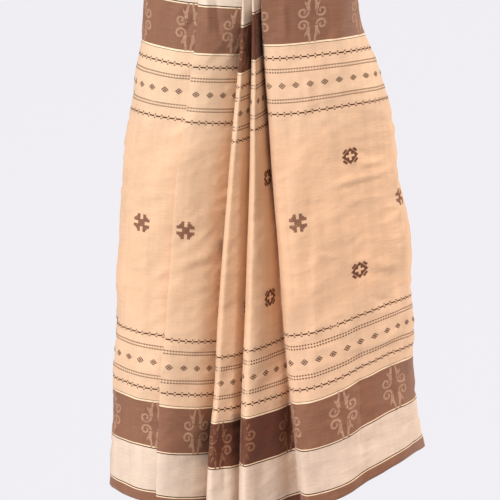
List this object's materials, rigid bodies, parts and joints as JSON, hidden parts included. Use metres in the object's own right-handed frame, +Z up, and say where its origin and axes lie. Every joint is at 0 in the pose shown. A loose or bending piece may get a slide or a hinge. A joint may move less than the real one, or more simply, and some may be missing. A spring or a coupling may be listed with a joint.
{
  "type": "lungi",
  "caption": "Worn lungi: a long cotton tube, narrow at the rolled waist and wide at the hem, with overlapping front pleats and woven border bands.",
  "frame": {"origin": "centre of the waist opening, at the top edge of the hanging cloth, where the wearer holds it up", "axes": "+Z up out of the waist, -Y towards the front with the pleats, +X towards the side that the pleats open to"},
  "size_m": [0.5705, 0.3154, 0.9968],
  "materials": {
    "cotton_field": "matt plain-woven cotton, peach with brown woven borders",
    "cotton_border": "matt plain-woven cotton, brown"
  },
  "bodies": {
    "root": {"left_side": "cotton_field", "left_front": "cotton_field", "first_pleat": "cotton_field", "second_pleat": "cotton_field", "right_front": "cotton_field", "back": "cotton_field", "waist_roll": "cotton_border"}
  },
  "joints": []
}
